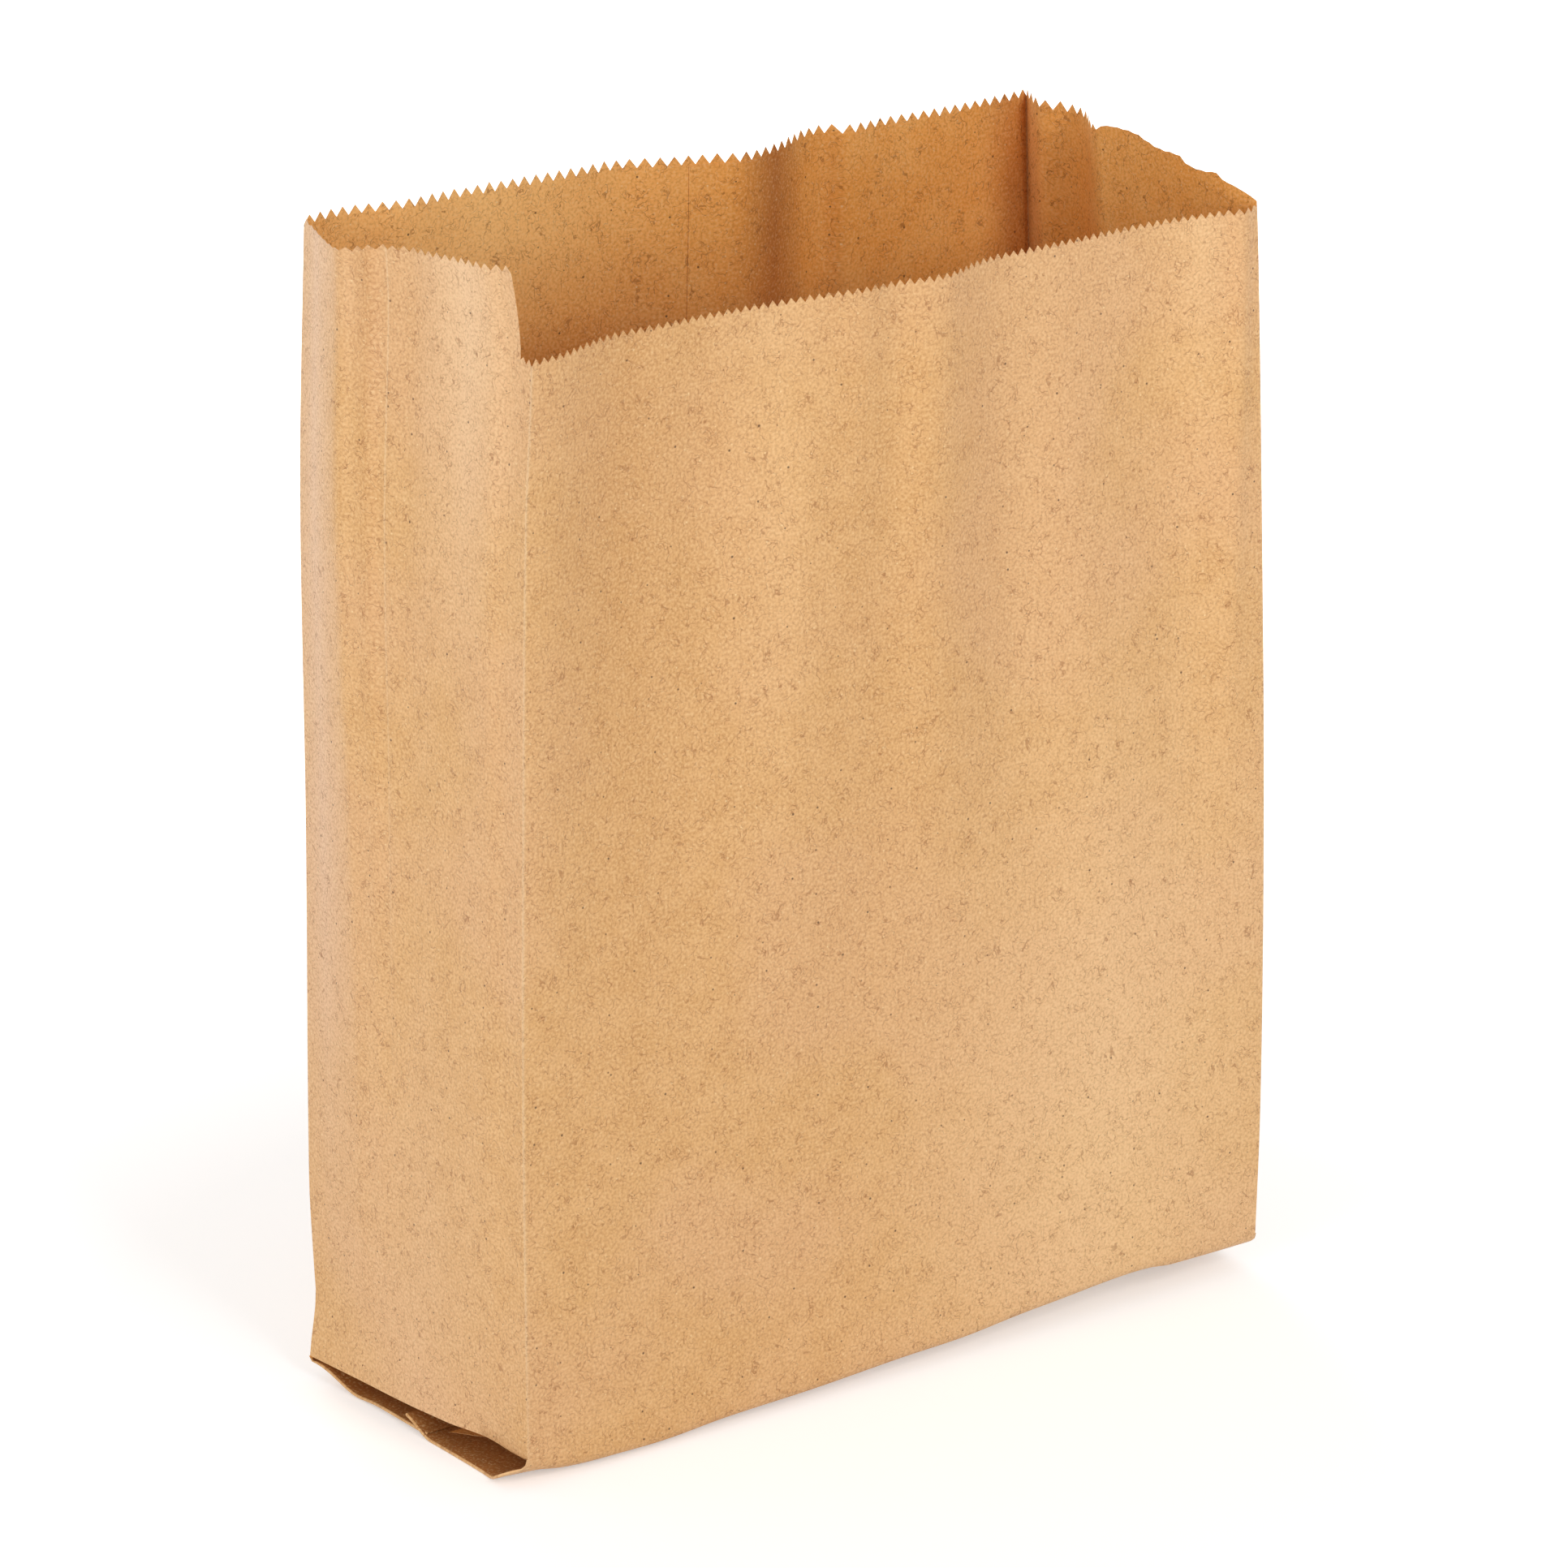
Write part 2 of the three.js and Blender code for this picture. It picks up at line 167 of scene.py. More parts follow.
def bow(panel, along, z):
    """How far a panel stands out of the straight between its folds."""
    if panel == 0:
        top = (through(LIP_BOW, along) * ease(z, *LIP_GROWS) ** 1.2
               + through(LIP_KINK, along) * ease(z, *KINK_GROWS))
        fanned = along / (1 + BAND_FAN * (BANDS_AT - z))
        fade = (ease(z, *BANDS_START) * (1 - ease(z, *BANDS_END))
                * (1 - ease(abs(along), *BANDS_SIDE)))
        bands = BAND_DEPTH * through(BANDS, fanned) * fade
        sag = (-SAG_DEPTH * math.cos(math.pi * along / WIDTH)
               * math.sin(math.pi * min(z / SAG_TO, 1)))
        return top + bands + sag
    if panel == 1:
        return through(RIGHT_BOW, along) * ease(z, *RIGHT_GROWS) ** 1.2
    if panel == 2:
        return through(BACK_BOW, along) * ease(z, *BACK_GROWS) ** 1.1
    grown = LEFT_LEAST + (1 - LEFT_LEAST) * ease(z, *LEFT_GROWS)
    crease = -CREASE_DEPTH * hill(along, CREASE_AT, CREASE_REACH) * ease(z, *CREASE_GROWS)
    below = max(0, DENT_TOP - z + (along + DENT_AT) * DENT_SLANT)
    dent = -DENT_DEPTH * below * ease(-along, *DENT_START) * (1 - ease(-along, *DENT_END))
    return through(LEFT_BOW, along) * grown * ease(z, 0, LEFT_GROWS[0]) + crease + dent


COCKLE_FROM_FOLD = 14


def cockle(s, z):
    """The slight unevenness of a sheet that has been folded, packed and opened: a broad one of
    some 46 mm by 70 mm, and one of 17 mm by 30 mm over it. The third number picks the pattern."""
    broad = noise.noise(Vector((s / 46, z / 70, 3.1)))
    fine = noise.noise(Vector((s / 17, z / 30, 7.7)))
    return 0.55 * broad + 0.16 * fine


def wall(s, z):
    """A place on the tube, s round its girth from the front-left fold and z above the ground."""
    s = s % GIRTH
    panel = max(i for i in range(4) if FOLD_AT[i] <= s)
    share = (s - FOLD_AT[panel]) / (FOLD_AT[panel + 1] - FOLD_AT[panel])
    (from_here, ay), (to_there, by) = FOLDS[panel], FOLDS[panel + 1]
    ax = through(from_here, z)
    bx = through(to_there, z)
    x = ax + (bx - ax) * share
    y = ay + (by - ay) * share
    along = x if panel in (0, 2) else y
    from_fold = min(share, 1 - share) * (FOLD_AT[panel + 1] - FOLD_AT[panel])
    out = bow(panel, along, z) + cockle(s, z) * ease(from_fold, 0, COCKLE_FROM_FOLD)
    nx, ny = [(0, -1), (1, 0), (0, 1), (-1, 0)][panel]
    return x + nx * out, y + ny * out


# The sheet's bottom folds, by place round the girth. The front's isn't on the ground along its
# whole width: it stands off it towards the right.
FRONT_FOOT = [(0, 7.1), (10, 5.0), (26, 3.7), (36, 3.6), (50, 4.4), (73, 4.8), (97, 5.9),
              (113, 6.3), (129, 7.7), (140, 8.4), (157, 9.6), (165, 9.6), (171, 8.9), (WIDTH, 8.8)]
RIGHT_FOOT = [(WIDTH, 8.8), (WIDTH + 20, 8.0), (WIDTH + 60, 6.0), (BACK_RIGHT_FOLD, 5.6)]
BACK_FOOT = [(BACK_RIGHT_FOLD, 5.6), (WIDTH * 1.5 + DEPTH, 4.2), (BACK_LEFT_FOLD, 5.0)]
LEFT_FOOT = [(BACK_LEFT_FOLD, 5.0), (GIRTH - 39, 5.6), (GIRTH, 7.1)]


def foot(s):
    """Where each panel's bottom fold begins, above the ground."""
    s = s % GIRTH
    panel = max(i for i in range(4) if FOLD_AT[i] <= s)
    return through([FRONT_FOOT, RIGHT_FOOT, BACK_FOOT, LEFT_FOOT][panel], s)


# The mouth's cut. The knife that parts the bags leaves fine teeth on the front's low lip, sharp
# ones at the back and shallow worn ones on the left, and on the right it slipped down in steps.
# A short slit beside the left front fold frees the lip.
TOOTH_PITCH = 3.0
TOOTH_DEPTH = 1.9
LIP_PITCH = 2.2
LIP_DEPTH = 1.35
LIP_LEFT = 241.6
LIP_RISE = 2.6
WAIST_DIP = 1.0
SLIT = GIRTH - 4
RIGHT_CUT = [(WIDTH, 245.6), (WIDTH + 2, 246.6), (WIDTH + 6, 248.0), (WIDTH + 9, 248.8),
             (WIDTH + 10.5, 250.0), (WIDTH + 14, 249.7), (WIDTH + 19, 250.3), (WIDTH + 21, 251.8),
             (WIDTH + 27, 252.3), (WIDTH + 30, 253.1), (WIDTH + 34, 254.5), (WIDTH + 41, 254.9),
             (WIDTH + 44, 254.4), (WIDTH + 46, 253.6), (BACK_RIGHT_FOLD, 254.6)]
UPPER_CUT = [(BACK_RIGHT_FOLD, 254.6), (BACK_LEFT_FOLD, 255.3), (BACK_LEFT_FOLD + 10, 254.6),
             (BACK_LEFT_FOLD + 20, 254.2), (BACK_LEFT_FOLD + 30, 256.2), (GIRTH - 24, 258.4),
             (SLIT, 260.2)]
TEETH = [(WIDTH, 0), (WIDTH + 44, 0), (WIDTH + 46, 1.7), (BACK_RIGHT_FOLD, TOOTH_DEPTH),
         (BACK_LEFT_FOLD, TOOTH_DEPTH), (BACK_LEFT_FOLD + 3, 0.5), (BACK_LEFT_FOLD + 19, 0.4),
         (BACK_LEFT_FOLD + 24, 1.0), (SLIT, 1.5)]


def lip_height(s):
    return LIP_LEFT + LIP_RISE * s / WIDTH


def mouth_height(s):
    return through(RIGHT_CUT if s < BACK_RIGHT_FOLD else UPPER_CUT, s)


def waist(s):
    """The height where the front ends at its lip, and the other panels carry on to the mouth."""
    if s <= WIDTH:
        return lip_height(s)
    low = lip_height(WIDTH) - WAIST_DIP
    if s < BACK_RIGHT_FOLD:
        return lip_height(WIDTH) - WAIST_DIP * ease(s, WIDTH, WIDTH + 20)
    return low + (lip_height(0) - low) * ease(s, BACK_RIGHT_FOLD, GIRTH)


def spaced(start, end, pitch):
    """Columns from the start up to the end: each tooth has one at its tip and one at its foot."""
    count = 2 * round((end - start) / pitch)
    return [start + (end - start) * i / count for i in range(count)]


FRONT_COLUMNS = spaced(0, RIGHT_FOLD, LIP_PITCH)
RIGHT_COLUMNS = spaced(RIGHT_FOLD, BACK_RIGHT_FOLD, TOOTH_PITCH)
BACK_COLUMNS = spaced(BACK_RIGHT_FOLD, BACK_LEFT_FOLD, TOOTH_PITCH)
LEFT_COLUMNS = spaced(BACK_LEFT_FOLD, SLIT, TOOTH_PITCH)
SLIT_COLUMNS = spaced(SLIT, GIRTH, LIP_PITCH)
RING = FRONT_COLUMNS + RIGHT_COLUMNS + BACK_COLUMNS + LEFT_COLUMNS + SLIT_COLUMNS + [GIRTH]
UPPER = RIGHT_COLUMNS + BACK_COLUMNS + LEFT_COLUMNS + [SLIT]


# The paper: machine-glazed unbleached kraft, of brown softwood fibres and bits of bark in a cloudy
# formation, pressed to a low shine outside and left matt inside. Its fibres are some 0.04 mm thick
# and 3 mm long, and are drawn about three times as thick so that they show.
FIBRE = "#8a4c1a"
PALE_FIBRE = "#f0d5a2"
BARK = "#54351a"
# The sizes of its patterns, in millimetres of the unfolded sheet.
CLOUD = 8
PATCH = 55
GRAIN = 0.65
CURL = 1.6
CURL_BEND = 2.4
RELIEF = 0.05
# Three lays of fibres. Each is the peaks of a noise of the given length and thickness, at an
# angle, and starts at its own place in the noise.
LAYS = [(7.0, 0.26, 8, 0.7), (6.0, 0.24, 62, 0.1), (6.5, 0.25, -48, 0.5)]
PEAKS_FROM = 0.755
PEAKS_FULL = 0.81
UNEVEN_SHINE = 0.06


def linear(colour):
    """The linear red, green and blue of an sRGB hex colour, with full alpha."""
    parts = [int(colour[i:i + 2], 16) / 255 for i in (1, 3, 5)]
    return [p / 12.92 if p <= 0.04045 else ((p + 0.055) / 1.055) ** 2.4 for p in parts] + [1]


def add_node(owner, kind, options, values, links=None, give=None):
    """Adds a node with its options, values and links, and returns its first or its named output."""
    node = owner.node_tree.nodes.new(kind)
    for option, choice in options.items():
        setattr(node, option, choice)
    sockets = [socket for socket in node.inputs if socket.enabled]
    places = {socket.name: socket for socket in reversed(sockets)}
    places.update(enumerate(sockets))
    for name, value in values.items():
        places[name].default_value = value
    for name, source in (links or {}).items():
        owner.node_tree.links.new(source, places[name])
    return next(socket for socket in node.outputs if socket.enabled and give in (None, socket.name))


def strands(paper, warped, length, thick, angle, start):
    """Short fibres lying one way: a noise drawn out along them, of which only the peaks are kept."""
    laid = add_node(paper, "ShaderNodeMapping", {"vector_type": "TEXTURE"},
                    {"Location": (start, start, 0), "Rotation": (0, 0, math.radians(angle)),
                     "Scale": (thick * MM, length * MM, 1)}, {"Vector": warped})
    drawn = add_node(paper, "ShaderNodeTexNoise", {"noise_dimensions": "2D"},
                     {"Scale": 1.0, "Detail": 0.0}, {"Vector": laid})
    return add_node(paper, "ShaderNodeMapRange", {},
                    {"From Min": PEAKS_FROM, "From Max": PEAKS_FULL}, {"Value": drawn})


def specks(paper, sheet, spacing, radius, share, start):
    """Round specks, one to a cell of the given spacing, in the given share of the cells."""
    moved = add_node(paper, "ShaderNodeMapping", {}, {"Location": (start, start, 0)},
                     {"Vector": sheet})
    distance = add_node(paper, "ShaderNodeTexVoronoi", {"voronoi_dimensions": "2D"},
                        {"Scale": 1 / (spacing * MM)}, {"Vector": moved})
    chance = add_node(paper, "ShaderNodeSeparateColor", {}, {},
                      {"Color": distance.node.outputs["Color"]})
    reach = add_node(paper, "ShaderNodeMapRange", {},
                     {"From Min": 1 - share, "From Max": 1, "To Min": 0.0001,
                      "To Max": radius / spacing}, {"Value": chance})
    close = add_node(paper, "ShaderNodeMath", {"operation": "DIVIDE"}, {}, {0: distance, 1: reach})
    return add_node(paper, "ShaderNodeMapRange", {},
                    {"From Min": 0.8, "From Max": 1.1, "To Min": 1, "To Max": 0}, {"Value": close})


def kraft_paper(name, ground, cloud, tint, fibres, roughness, wear_and_painted_light):
    """One face of the sheet: a cloudy and patchy ground, worn along upright lines and painted paler
    or darker in broad patches as painted light and shade, and over it the grain, the fibres and the
    specks."""
    paper = bpy.data.materials.new(name)
    paper.use_nodes = True
    shader = paper.node_tree.nodes["Principled BSDF"]
    sheet = add_node(paper, "ShaderNodeUVMap", {"uv_map": "UVMap"}, {})
    clouds, patches, grain = [
        add_node(paper, "ShaderNodeTexNoise", {"noise_dimensions": "2D"},
                 {"Scale": 1 / (size * MM), "Detail": detail}, {"Vector": sheet})
        for size, detail in ((CLOUD, 3.0), (PATCH, 1.0), (GRAIN, 2.0))]
    curl = add_node(paper, "ShaderNodeTexNoise", {"noise_dimensions": "2D"},
                    {"Scale": 1 / (CURL * MM), "Detail": 1.0}, {"Vector": sheet}, "Color")
    centred = add_node(paper, "ShaderNodeVectorMath", {"operation": "SUBTRACT"},
                       {1: (0.5, 0.5, 0.5)}, {0: curl})
    bent = add_node(paper, "ShaderNodeVectorMath", {"operation": "SCALE"},
                    {"Scale": CURL_BEND * MM}, {0: centred})
    warped = add_node(paper, "ShaderNodeVectorMath", {"operation": "ADD"}, {}, {0: sheet, 1: bent})
    laid = [strands(paper, warped, *lay) for lay in LAYS]

    around = add_node(paper, "ShaderNodeSeparateXYZ", {}, {}, {"Vector": sheet})
    up = add_node(paper, "ShaderNodeSeparateXYZ", {}, {}, {"Vector": sheet}, "Y")
    # The left front fold is at both ends of the girth, so its wear is measured from both.
    from_ends = add_node(paper, "ShaderNodeMath", {"operation": "PINGPONG"},
                         {1: GIRTH / 2 * MM}, {0: around})
    layers = [(cloud, clouds, 0.35, 0.65, 0.6), (tint, patches, 0.4, 0.62, 0.5)]
    for line, reach, tone, low, high, most in wear_and_painted_light:
        gap = add_node(paper, "ShaderNodeMath", {"operation": "SUBTRACT"}, {1: line * MM},
                       {0: around if line else from_ends})
        from_line = add_node(paper, "ShaderNodeMath", {"operation": "ABSOLUTE"}, {}, {0: gap})
        near = add_node(paper, "ShaderNodeMapRange", {}, {"From Min": reach * MM, "From Max": 0},
                        {"Value": from_line})
        height = add_node(paper, "ShaderNodeMapRange", {},
                          {"From Min": low * MM, "From Max": high * MM}, {"Value": up})
        both = add_node(paper, "ShaderNodeMath", {"operation": "MULTIPLY"}, {},
                        {0: near, 1: height})
        layers.append((tone, both, 0, 1, most))
    layers += [(FIBRE, grain, 0.48, 0.85, 0.38), (PALE_FIBRE, grain, 0.48, 0.2, 0.36)]
    layers += [(FIBRE, lay, 0, 1, fibres) for lay in laid]
    layers += [(PALE_FIBRE, specks(paper, sheet, 3.6, 0.22, 0.5, 0.2), 0, 1, 0.6),
               (BARK, specks(paper, sheet, 6.5, 0.27, 0.6, 0.4), 0, 1, 0.85)]

    colour = None
    for tone, pattern, low, high, most in layers:
        amount = add_node(paper, "ShaderNodeMapRange", {},
                          {"From Min": low, "From Max": high, "To Max": most}, {"Value": pattern})
        so_far = {"A": colour} if colour else {}
        colour = add_node(paper, "ShaderNodeMix", {"data_type": "RGBA"},
                          {"A": linear(ground), "B": linear(tone)}, {"Factor": amount} | so_far)
    paper.node_tree.links.new(colour, shader.inputs["Base Color"])
    relief = add_node(paper, "ShaderNodeMath", {"operation": "ADD"}, {}, {0: grain, 1: laid[0]})
    bump = add_node(paper, "ShaderNodeBump", {}, {"Strength": 0.3, "Distance": RELIEF * MM},
                    {"Height": relief})
    paper.node_tree.links.new(bump, shader.inputs["Normal"])
    gloss = add_node(paper, "ShaderNodeMapRange", {},
                     {"From Min": 0.3, "From Max": 0.7, "To Min": roughness - UNEVEN_SHINE,
                      "To Max": roughness + UNEVEN_SHINE}, {"Value": grain})
    paper.node_tree.links.new(gloss, shader.inputs["Roughness"])
    shader.inputs["Specular IOR Level"].default_value = 0.35
    return paper


# Where the paper's tone changes: its folds are rubbed pale, and broad parts beside them are painted
# paler or darker as painted light and painted shade. Each row has the line's place round the girth,
# how far beside it the tone reaches, the tone, the heights where it begins and is full, and how
# strong it gets.
WORN = "#f0d6ae"
LEFT_CREASE = GIRTH - 46
BACK_MIDDLE = BACK_RIGHT_FOLD + WIDTH / 2
FACE_WEAR_AND_PAINTED_LIGHT = [(0, 0.6, WORN, -20, 40, 0.4),
             (RIGHT_FOLD, 0.5, WORN, 10, 60, 0.3),
             (BACK_LEFT_FOLD, 0.5, WORN, 10, 60, 0.3),
             # Painted sheen: a pale, pinkish tint on the left gusset beside its back fold.
             (BACK_LEFT_FOLD + 8, 13, "#e8c4a8", 20, 120, 0.5),
             # Painted shade: an orange-brown band beside the left gusset's crease, high up.
             (GIRTH - 50.5, 4.5, "#c08440", 130, 250, 0.34),
             (LEFT_CREASE, 0.4, WORN, 60, 200, 0.4),
             # Painted light and shade on the front: darker and paler upright patches, a highlight
             # band near its right fold, and a paler lower right.
             (28, 34, "#cb9558", 50, 190, 0.5),
             (66, 15, "#f3ca95", 90, 200, 0.22),
             (117, 10, "#cb9558", 120, 220, 0.08),
             (132, 9, "#f0c48c", 110, 200, 0.15),
             (178, 8, "#f3ca95", 190, 240, 0.35),
             (150, 70, "#f1ca98", 170, 50, 0.6),
             (90, 60, "#d09c60", 30, 130, 0.35),
             # Painted light on the left gusset: paler high up near its front fold, and paler and
             # less saturated towards its foot.
             (GIRTH - 20, 19, "#f6d0a4", 170, 240, 0.65),
             (GIRTH - 39, 39, "#e6bd95", 120, 30, 0.4)]
# Inside, every row is painted light or painted shade: a dark band where the lap's second ply holds
# back light through the back, deeper shade low on the back's left, painted light high on the back's
# left and on the right gusset beside the back right fold, a dark band on the back beside that fold,
# and a light line along the fold where light shows through.
INSIDE_PAINTED_LIGHT = [(BACK_MIDDLE - 20, 14, "#aa6026", 100, 200, 0.75),
               (BACK_LEFT_FOLD - 75, 90, "#c06a26", 240, 214, 0.65),
               (BACK_RIGHT_FOLD - 5, 6, "#fbc987", 150, 220, 0.5),
               (BACK_LEFT_FOLD - 45, 60, "#ffcb80", 212, 243, 0.9),
               (BACK_RIGHT_FOLD + 6, 10, "#b8692c", 120, 200, 0.5),
               (BACK_RIGHT_FOLD, 0.7, "#f3d0a0", 195, 235, 0.7)]
outer = kraft_paper("glazed_kraft_face", ground="#d9a86e", cloud="#e2b37b", tint="#dfaf81",
                    fibres=0.42, roughness=0.5, wear_and_painted_light=FACE_WEAR_AND_PAINTED_LIGHT)
inner = kraft_paper("matt_kraft_inside", ground="#efa854", cloud="#f5b768", tint="#e69a42",
                    fibres=0.5, roughness=0.75, wear_and_painted_light=INSIDE_PAINTED_LIGHT)
# Painted shade: a dark brown paper for the tails, standing for the shadow inside the bottom's
# pockets.
pocket_shade_paper = kraft_paper("painted_shade_kraft", ground="#a0672f", cloud="#8c5626", tint="#935a29",
                     fibres=0.6, roughness=0.7, wear_and_painted_light=[])


# The tube: the sheet from its bottom fold up to the lip all round, and the band of its sides and
# back that stands above the lip. The knife's teeth are in the top row of each.
BODY_ROWS = 64
BAND_ROWS = 9


def laid_sheet(name, columns, rows, place, second=inner, second_from=None):
    """A flat grid of the sheet, each point carried to its folded place, with its sheet place as UV.
    Its faces are in the outer paper, and can be in a second one from some column on."""
    bpy.ops.object.select_all(action="DESELECT")
    bpy.ops.mesh.primitive_grid_add(x_subdivisions=columns - 1, y_subdivisions=rows - 1, size=1)
    piece = bpy.context.object
    piece.name = name
    piece.data.materials.append(outer)
    piece.data.materials.append(second)
    if second_from is not None:
        for index, polygon in enumerate(piece.data.polygons):
            polygon.material_index = int(index % (columns - 1) >= second_from)
    sheet = []
    for index, vertex in enumerate(piece.data.vertices):
        row, column = divmod(index, columns)
        x, y, z, s, v = place(column, row)
        vertex.co = (x * MM, y * MM, z * MM)
        sheet.append((s * MM, v * MM))
    for loop, uv in zip(piece.data.loops, piece.data.uv_layers.active.data):
        uv.uv = sheet[loop.vertex_index]
    return piece


def tooth(column, depth, uneven):
    """A tooth's tip stands as far above the line of the cut as its foot is below it."""
    return depth * (0.5 + uneven) * (1 if column % 2 else -1)


def body_place(column, row):
    s = RING[column]
    share = row / (BODY_ROWS - 1)
    low = foot(s)
    z = low + (waist(s) - low) * share
    if row == BODY_ROWS - 1 and (s < RIGHT_FOLD or s > SLIT):
        z += tooth(column, LIP_DEPTH, 0.14 * noise.noise(Vector((s / 3, 0, 0))))
    x, y = wall(s, z)
    return x, y, z, s, z


def band_place(column, row):
    s = UPPER[column]
    share = row / (BAND_ROWS - 1)
    low = waist(s)
    z = low + (mouth_height(s) - low) * share
    if row == BAND_ROWS - 1:
        z += tooth(column, through(TEETH, s), 0.13 * noise.noise(Vector((s / 5, 4, 0))))
    x, y = wall(s, z)
    return x, y, z, s, z


body = laid_sheet("paper_sheet", len(RING), BODY_ROWS, body_place)
band = laid_sheet("mouth_band", len(UPPER), BAND_ROWS, band_place)


# The bottom's two flaps. The front panel rolls under and runs in as the lower flap, and the back
# one lies over it, both pasted, toothed, and mitred towards their ends. At the bag's left end the
# front's roll is wider and the back's tighter, and both come down within END_REACH.
FLAP_ROWS = 30
FLAP_LENGTH = 54.5
MITRE = 12
MITRE_OVER = (82, 98)
TEETH_WITHIN = 84
ROLL = 2.6
FALL_OVER = 6
FALL_FROM = 0.4
LEFT_END = (66, 95)
END_ROLL = {-1: 0.9, 1: -1.4}
END_REACH = {-1: 10.5, 1: 17}
LIFT = 3.0
LIFT_CREST = 4.2
OVERLAP = (12, 24)
FLAPS_APART = 0.7
SPREAD_OVER = (88, 97)


def mitre(x):
    """How much of a flap's length its mitre takes off."""
    return MITRE * ease(abs(x), *MITRE_OVER)


def roll(height, x, side):
    """A flap's roll: its radius, how high it leaves the flap's edge, and how far in the flap comes
    down. Side -1 is the front flap and +1 the back one."""
    left_end = ease(-x, *LEFT_END)
    radius = min(ROLL + left_end * END_ROLL[side], height * 0.9)
    edge = height - radius
    reach = (FALL_OVER * edge + radius) * (1 - left_end) + END_REACH[side] * left_end
    return radius, edge, reach


def under(q, height, x, side):
    """How far a flap has run in under the bag, and its height, q along the sheet past the start
    of its fold."""
    radius, edge, reach = roll(height, x, side)
    bend = 0.5 * math.pi * radius
    if q < bend:
        angle = q / radius
        return radius * (1 - math.cos(angle)), edge + radius * (1 - math.sin(angle))
    inward = radius + q - bend
    return inward, edge * (1 - ease(inward, FALL_FROM * radius, reach))


def corner_lift(x, y):
    """The free corner of the front flap stands up in a small ridge at the bag's left end."""
    ridge = ease(y, -6, LIFT_CREST) * (1 - ease(y, LIFT_CREST, 5.0))
    return LIFT * ridge * ease(-x, 84, 97)


def settled(side, x, y, z, inward):
    """A flap's height once it lies down, the back one on top of the front one."""
    if side < 0:
        return z + corner_lift(x, y)
    radius, edge, reach = roll(foot(min(max(x + WIDTH / 2, 0), WIDTH)), x, -1)
    front_flap_z = edge * (1 - ease(y + DEPTH / 2, FALL_FROM * radius, reach))
    over = ease(inward, *OVERLAP)
    return max(z, front_flap_z * over) + FLAPS_APART * over


def spread(end, side, inward):
    """How far a flap's end stands out past the upright fold, along the bag's width."""
    if end > 0:
        return 0.8 * ease(inward, 0, 8)
    if side < 0:
        return through([(0, 0), (2.0, 1.6), (4.4, 5.0), (6, 4.4), (9.5, 3.1), (20, 2.7),
                        (34, 2.7), (45, 2.7)], inward)
    return through([(0, 0), (2, -0.4), (9, -1.3), (20, -2.0), (45, -2.0)], inward)


def spread_out(x, side, inward):
    end = -1 if x < 0 else 1
    return x + end * spread(end, side, inward) * ease(abs(x), *SPREAD_OVER)


def flap_maker(side, columns):
    def place(column, row):
        s = columns[column]
        height = foot(s)
        x, y = wall(s, height)
        q = (FLAP_LENGTH - mitre(x)) * row / (FLAP_ROWS - 1)
        if row == FLAP_ROWS - 1 and column % 2 and abs(x) < TEETH_WITHIN:
            q -= TOOTH_DEPTH
        inward, z = under(q, height, x, side)
        x = spread_out(x, side, inward)
        y -= side * inward
        return x, y, max(settled(side, x, y, z, inward), PLY / 2), s, height - q
    return place


bottom = []
for side, side_name, columns in ((-1, "front", FRONT_COLUMNS + [RIGHT_FOLD]),
                                 (1, "back", BACK_COLUMNS + [BACK_LEFT_FOLD])):
    bottom.append(laid_sheet(f"{side_name}_flap", len(columns), FLAP_ROWS,
                             flap_maker(side, columns)))


# The gussets' folds in the bottom. At each end a triangle runs from the side's fold down into the
# bag, and each flap has a tail turned back on it along the bag's end. The tails' flat parts are in a
# dark brown paper that is painted shade for the pocket's shadow. They leave a flat open pocket.
TAIL_COLUMNS = 14
TAIL_TURN = 4
TURN_RADIUS = 0.28
TURN_OPENS = 3
CORNERS = {(-1, -1): GIRTH, (-1, 1): BACK_LEFT_FOLD, (1, -1): RIGHT_FOLD, (1, 1): BACK_RIGHT_FOLD}


def tail_point(end, side, q):
    """A place on the fold between a flap and its tail, q along it, with how far in it is and which
    upright fold it starts from."""
    corner = CORNERS[end, side]
    height = foot(corner)
    x, y = wall(corner, height)
    inward, z = under(q, height, x, side)
    x = spread_out(x, side, inward)
    y -= side * inward
    return x, y, max(settled(side, x, y, z, inward), PLY / 2), inward, corner


def tail_maker(end, side):
    length = FLAP_LENGTH - mitre(tail_point(end, side, 0)[0])

    def place(column, row):
        q = length * row / (FLAP_ROWS - 1)
        x, y, z, inward, corner = tail_point(end, side, q)
        turn = math.pi * min(column / TAIL_TURN, 1)
        part = max(column - TAIL_TURN, 0) / (TAIL_COLUMNS - 1 - TAIL_TURN)
        across = min(inward, DEPTH / 2) * part - TURN_RADIUS * math.sin(turn)
        rise = TURN_RADIUS * (1 - math.cos(turn)) * min(1, inward / TURN_OPENS)
        if end > 0:
            beside = corner + side * max(across, 0)
            flap_z = under(q, foot(beside), x - across, side)[1]
            z = max(z, settled(side, x - across, y, flap_z, inward))
        return x - end * across, y, z + rise, corner + across, -inward
    return place


def triangle_maker(end, columns):
    def place(column, row):
        s = columns[row]
        height = foot(s)
        x, y = wall(s, height)
        part = column / (TAIL_COLUMNS - 1)
        from_corner = min(s - columns[0], columns[-1] - s)
        to_front = (s - columns[0] > DEPTH / 2) == (end < 0)
        tail_z = tail_point(end, -1 if to_front else 1, from_corner)[2]
        low = min(tail_z + 2.5 * TURN_RADIUS, height)
        z = height + (low - height) * (1 - (1 - part) ** 2)
        return x - end * from_corner * part, y, max(z, PLY / 2), s, height - from_corner * part
    return place


